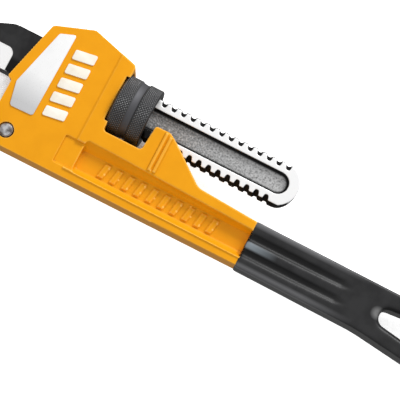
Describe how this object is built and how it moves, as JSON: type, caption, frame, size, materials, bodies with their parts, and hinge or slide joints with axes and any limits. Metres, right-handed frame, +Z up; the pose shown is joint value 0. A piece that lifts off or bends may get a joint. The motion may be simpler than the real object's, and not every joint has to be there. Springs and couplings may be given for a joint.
{
  "type": "pipe wrench",
  "caption": "Straight adjustable pipe wrench: cast housing and I-beam handle, threaded hook jaw driven by a knurled nut, toothed heel jaw, dipped grip with hanging slot.",
  "frame": {"origin": "under the middle of the whole wrench, on the level of the lowest point of the nut, with the wrench lying on its side", "axes": "+X along the handle towards the grip's end, +Y from the heel jaw's side towards the back of the hook jaw, +Z up through the thickness"},
  "size_m": [0.35, 0.088, 0.0354],
  "materials": {
    "painted_casting": "glossy orange-yellow enamel on cast iron",
    "black_vinyl": "dipped vinyl, satin",
    "black_forging": "black oxide on forged steel, with ground rims",
    "ground_steel": "ground hardened steel",
    "black_oxide": "black oxide on knurled steel",
    "spring_steel": "tempered spring steel"
  },
  "bodies": {
    "handle": {"handle_casting": "painted_casting", "grip_sleeve": "black_vinyl", "heel_jaw": "ground_steel", "heel_jaw_pin": "ground_steel", "spring_rivet": "spring_steel"},
    "rocking_seat": {"flat_spring": "spring_steel", "coil_spring": "spring_steel"},
    "nut": {"adjusting_nut": "black_oxide"},
    "hook": {"hook_jaw": "black_forging"}
  },
  "joints": [
    {"name": "jaw_rock", "type": "hinge", "parent": "handle", "child": "rocking_seat", "pos_m": [-0.04595, 0.01472, 0.0177], "axis": [0, 0, 1], "range_deg": [-1.5, 1.5], "stiffness_Nm_per_rad": 6, "deforming": ["flat_spring", "coil_spring"]},
    {"name": "nut_spin", "type": "hinge", "parent": "rocking_seat", "child": "nut", "pos_m": [-0.04595, 0.01472, 0.0177], "axis": [1, 0, 0], "range_deg": [-361, 3241]},
    {"name": "jaw_slide", "type": "slide", "parent": "rocking_seat", "child": "hook", "axis": [-1, 0, 0], "range_m": [-0.006, 0.054]}
  ],
  "couplings": [
    {"joint": "nut_spin", "follows": "jaw_slide", "rad_per_m": 1047.2}
  ]
}
